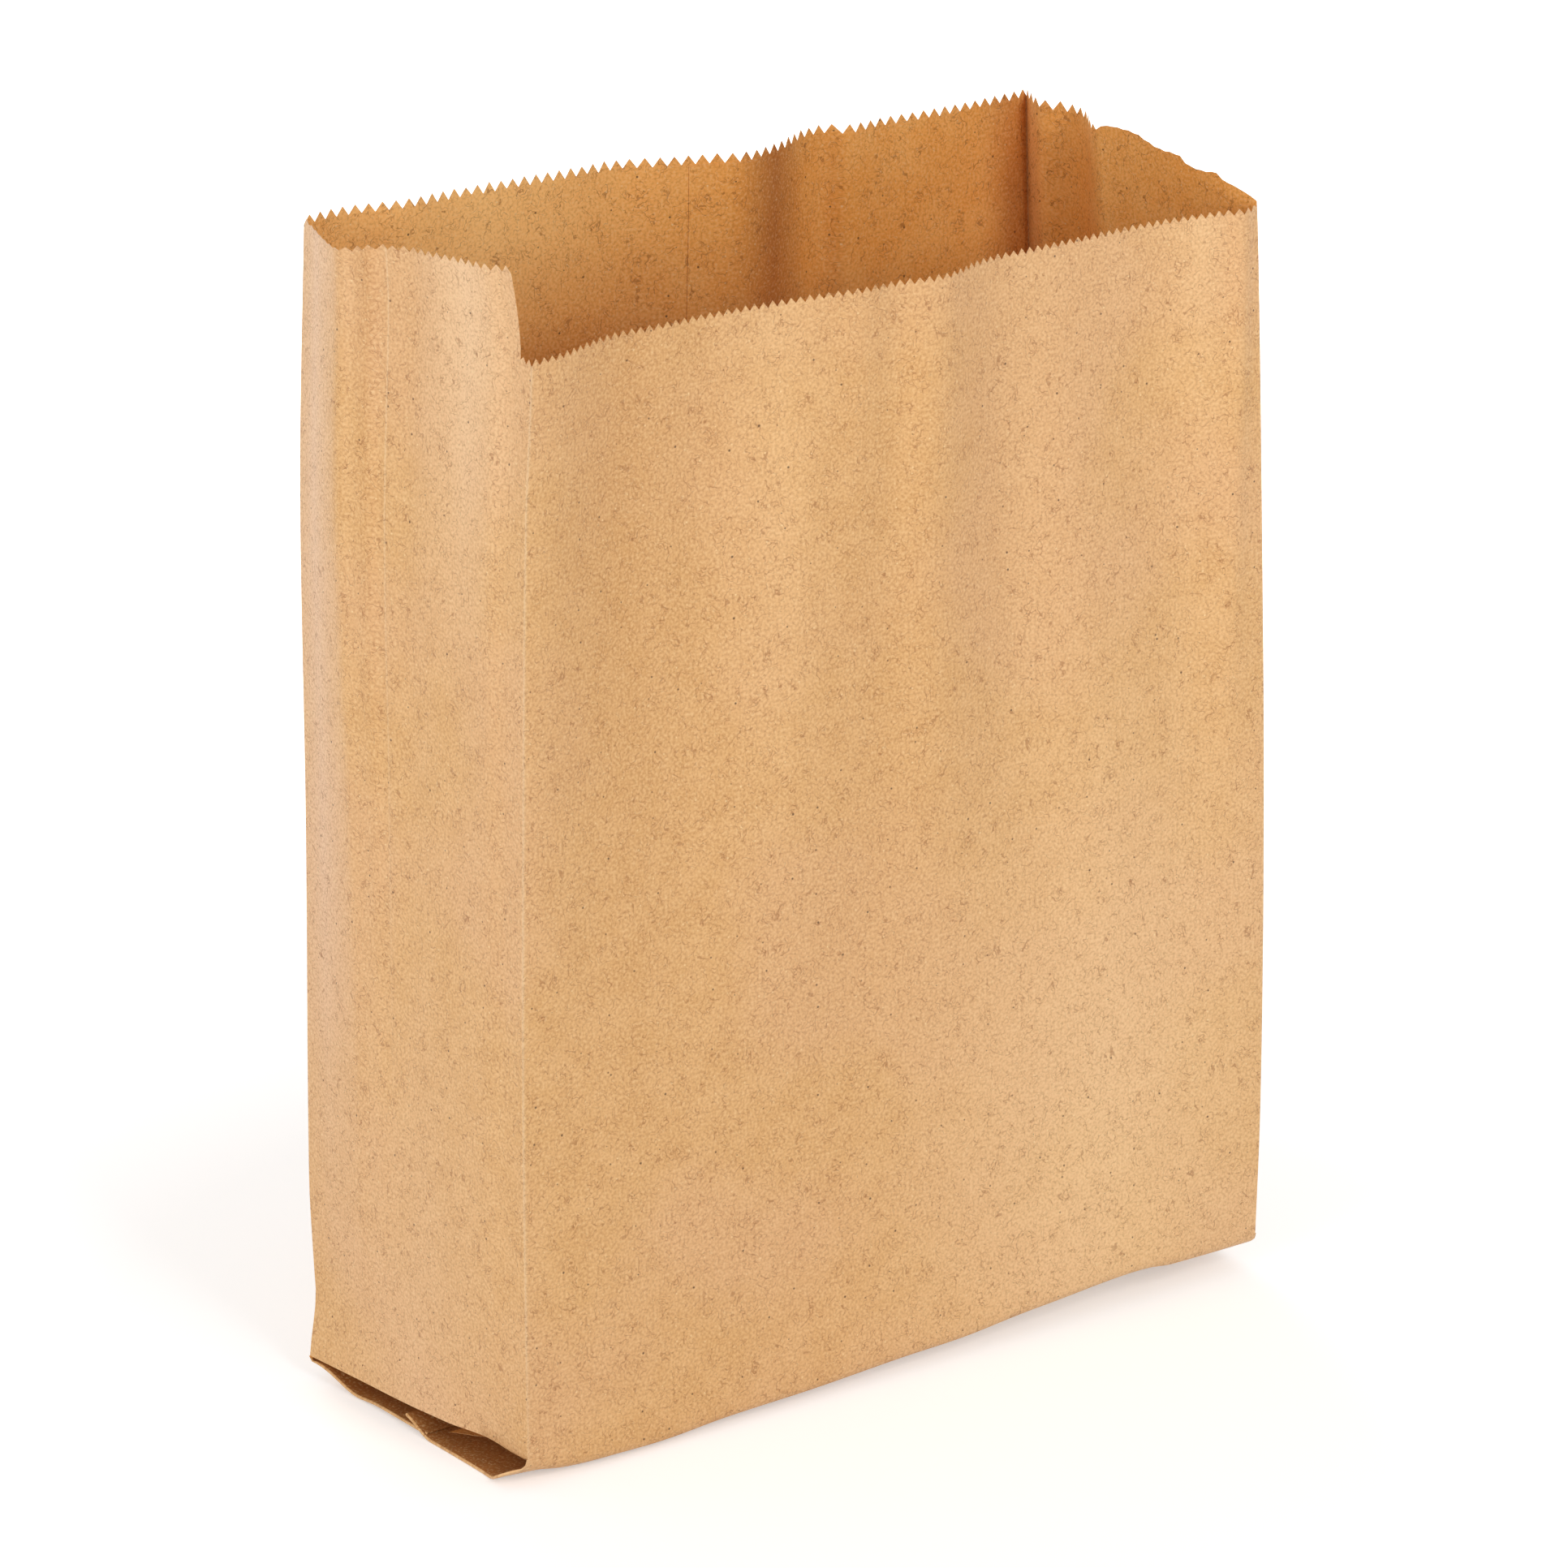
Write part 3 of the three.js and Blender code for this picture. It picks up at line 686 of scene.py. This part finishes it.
for end, end_name, columns in ((-1, "left", LEFT_COLUMNS + SLIT_COLUMNS + [GIRTH]),
                               (1, "right", RIGHT_COLUMNS + [BACK_RIGHT_FOLD])):
    for side, side_name in ((-1, "front"), (1, "back")):
        bottom.append(laid_sheet(f"{end_name}_{side_name}_tail", TAIL_COLUMNS, FLAP_ROWS,
                                 tail_maker(end, side), pocket_shade_paper, TAIL_TURN))
    bottom.append(laid_sheet(f"{end_name}_triangle", TAIL_COLUMNS, len(columns),
                             triangle_maker(end, columns)))


# The lap. The sheet's long edges are pasted over each other down the middle of the back: a second
# ply 20 mm wide lies against the inside of the back panel, and ends just below its teeth.
LAP_FROM = -2
LAP_TO = 18
LAP_GAP = 0.2
LAP_SHORT = 1.2
LAP_COLUMNS = [s for s in BACK_COLUMNS if LAP_FROM <= BACK_MIDDLE - s <= LAP_TO]
LAP_ROWS = BODY_ROWS + BAND_ROWS - 1


def lap_place(column, row):
    s = LAP_COLUMNS[column]
    if row < BODY_ROWS:
        z = foot(s) + (waist(s) - foot(s)) * row / (BODY_ROWS - 1)
    else:
        above = mouth_height(s) - LAP_SHORT - waist(s)
        z = waist(s) + above * (row - BODY_ROWS + 1) / (BAND_ROWS - 1)
    x, y = wall(s, z)
    return x, y - LAP_GAP, z, s, z


lap = laid_sheet("lap", len(LAP_COLUMNS), LAP_ROWS, lap_place)


# All of it is one sheet of paper: the parts are joined, merged where they meet, turned to face
# outwards, and given the ply's thickness, with the next paper in the list on the inner face.
MERGE_WITHIN = 0.02
SHARP_FOLD = math.radians(50)

bpy.ops.object.select_all(action="DESELECT")
for part in [body, band, lap] + bottom:
    part.select_set(True)
bpy.context.view_layer.objects.active = body
bpy.ops.object.join()
bpy.ops.object.mode_set(mode="EDIT")
bpy.ops.mesh.select_all(action="SELECT")
bpy.ops.mesh.remove_doubles(threshold=MERGE_WITHIN * MM)
bpy.ops.mesh.normals_make_consistent(inside=False)
bpy.ops.object.mode_set(mode="OBJECT")
body.name = "kraft_bag"
body.data.name = "kraft_bag"

thickness = body.modifiers.new("ply", "SOLIDIFY")
thickness.thickness = PLY * MM
thickness.offset = 0
thickness.material_offset = 1
bpy.ops.object.modifier_apply(modifier="ply")
bpy.ops.object.shade_smooth_by_angle(angle=SHARP_FOLD)
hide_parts("paper_bag")
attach(body, "root")


# The floor: a plain matt white sheet. To the camera it also glows, less close round the bag than
# further off, so that it reads as white and keeps the bag's soft shadow. It is in metres.
FLOOR_SIZE = 12
FLOOR_WHITE = "#f2f2f2"
SHADOW_WITHIN = 0.15
WHITE_FROM = 0.6
GLOW_BY_BAG = 0.36


def in_view(owner):
    """1 for the camera's rays and those that gloss or glass sends on, and 0 for light that falls
    on things."""
    rays = add_node(owner, "ShaderNodeLightPath", {}, {}).node.outputs
    sent_on = add_node(owner, "ShaderNodeMath", {"operation": "MAXIMUM"}, {},
                       {0: rays["Is Glossy Ray"], 1: rays["Is Transmission Ray"]})
    return add_node(owner, "ShaderNodeMath", {"operation": "MAXIMUM"}, {},
                    {0: rays["Is Camera Ray"], 1: sent_on})


bpy.ops.object.select_all(action="DESELECT")
bpy.ops.mesh.primitive_plane_add(size=FLOOR_SIZE, location=(0, 0, 0))
floor = bpy.context.object
floor.name = "floor"
floor_paint = bpy.data.materials.new("matt_white_floor")
floor_paint.use_nodes = True
floor_shader = floor_paint.node_tree.nodes["Principled BSDF"]
floor_shader.inputs["Base Color"].default_value = linear(FLOOR_WHITE)
floor_shader.inputs["Roughness"].default_value = 0.9
floor_place = add_node(floor_paint, "ShaderNodeTexCoord", {}, {}, give="Object")
from_bag = add_node(floor_paint, "ShaderNodeVectorMath", {"operation": "LENGTH"}, {},
                    {0: floor_place}, "Value")
glow = add_node(floor_paint, "ShaderNodeMapRange", {},
                {"From Min": SHADOW_WITHIN, "From Max": WHITE_FROM, "To Min": GLOW_BY_BAG,
                 "To Max": 1.0}, {"Value": from_bag})
shown = add_node(floor_paint, "ShaderNodeMath", {"operation": "MULTIPLY"}, {},
                 {0: glow, 1: in_view(floor_paint)})
floor_paint.node_tree.links.new(shown, floor_shader.inputs["Emission Strength"])
floor_shader.inputs["Emission Color"].default_value = (1, 1, 1, 1)
floor.data.materials.append(floor_paint)


# The light: a broad soft lamp low on the left, so that the sheet's waves show, a small one near
# the floor, one in front that reaches into the mouth, and one behind, all turned to the bag's
# middle, in a pale room that the camera sees as white.
BAG_MIDDLE = (0, 0, 0.12)
ROOM_LIGHT = 0.47

for name, place, size, power in (("left_lamp", (-1.8, -0.4, 0.4), 0.8, 12.8),
                                 ("low_lamp", (0.28, -0.62, 0.08), 0.35, 0.25),
                                 ("front_lamp", (0.0, -1.45, 0.95), 0.7, 9.8),
                                 ("back_lamp", (0.5, 1.9, 0.8), 1.0, 12)):
    bpy.ops.object.light_add(type="AREA", location=place)
    lamp = bpy.context.object
    lamp.name = name
    lamp.data.size = size
    lamp.data.energy = power
    look(lamp, place, BAG_MIDDLE)

world = bpy.data.worlds.new("pale_room")
bpy.context.scene.world = world
world.use_nodes = True
background = world.node_tree.nodes["Background"]
background.inputs["Color"].default_value = (1, 1, 1, 1)
room = add_node(world, "ShaderNodeMapRange", {}, {"To Min": ROOM_LIGHT, "To Max": 1.0},
                {"Value": in_view(world)})
world.node_tree.links.new(room, background.inputs["Strength"])

bpy.context.scene.view_settings.view_transform = "Standard"
